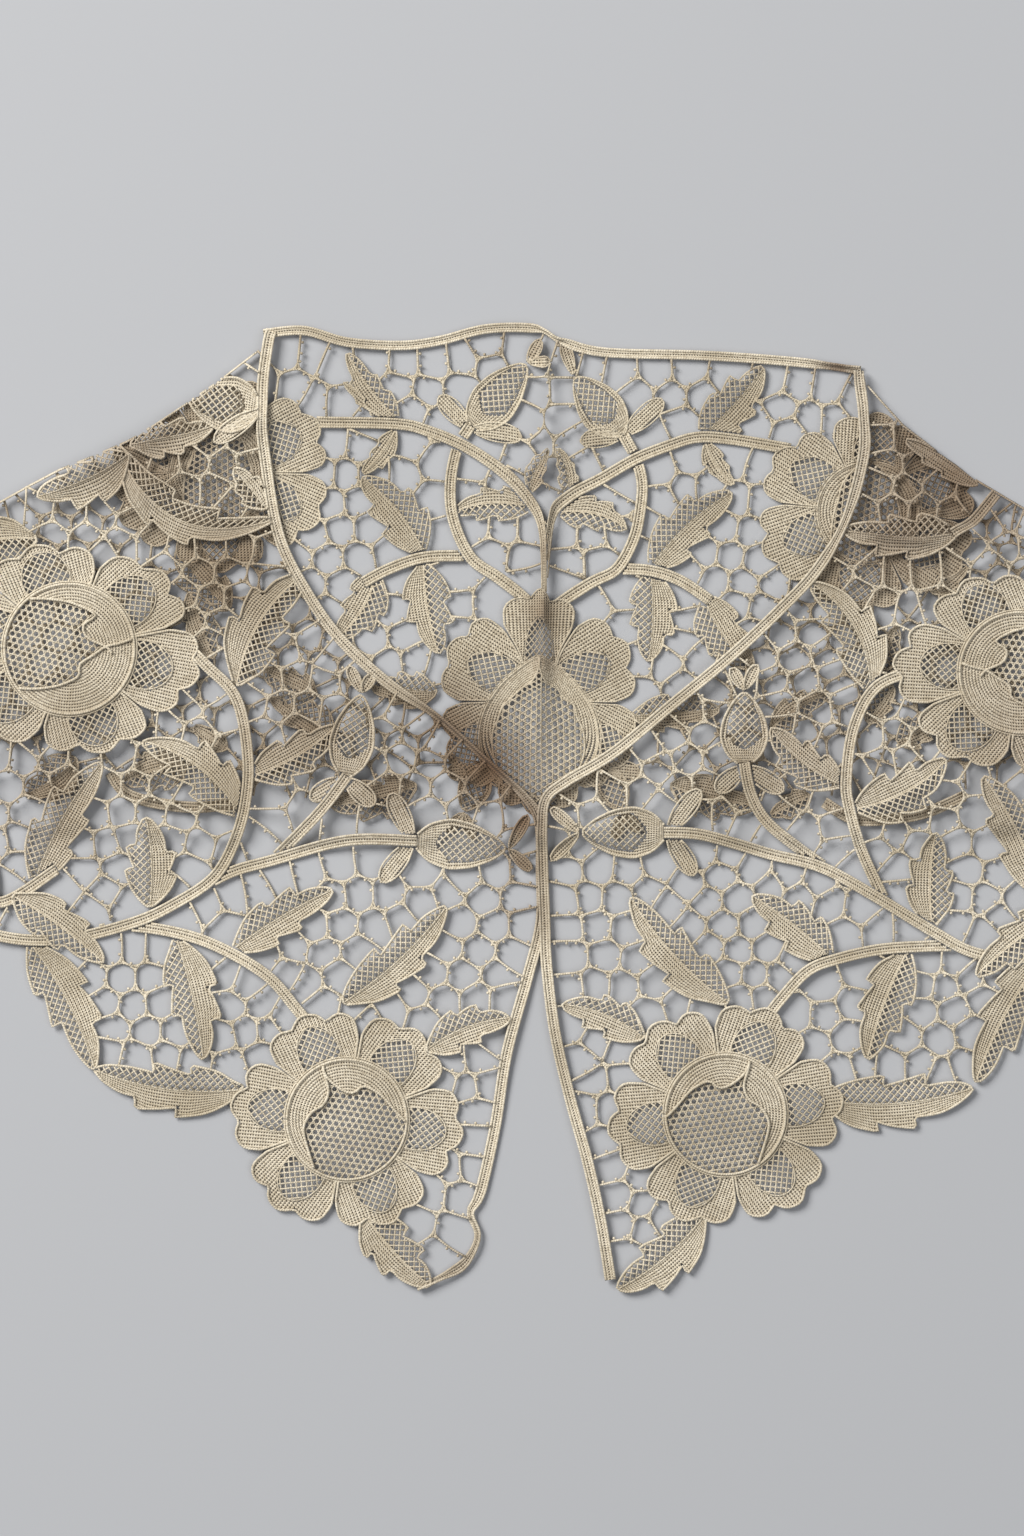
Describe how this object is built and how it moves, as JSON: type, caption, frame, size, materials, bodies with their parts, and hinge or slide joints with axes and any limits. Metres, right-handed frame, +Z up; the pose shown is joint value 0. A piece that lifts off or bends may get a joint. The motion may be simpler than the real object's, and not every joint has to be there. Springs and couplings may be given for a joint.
{
  "type": "lace collar",
  "caption": "V-necked needle-lace collar laid flat and folded at the shoulders: a back panel under two fronts, with a narrow corded tape round the neck and front edges.",
  "frame": {"origin": "centre of the bounding box, on the surface the collar lies on", "axes": "+X to the viewer's right across the collar, +Y towards the back of the neck, +Z up off the surface"},
  "size_m": [0.4134, 0.2904, 0.004],
  "materials": {
    "lace_right_side": "matt ecru thread, worn",
    "lace_wrong_side": "matt ecru thread, wrong side",
    "tape": "matt corded thread"
  },
  "bodies": {
    "root": {"back_panel": "lace_wrong_side", "front_left": "lace_right_side", "front_right": "lace_right_side", "neck_tape_back": "tape", "edge_tape_left": "tape", "edge_tape_right": "tape"}
  },
  "joints": []
}
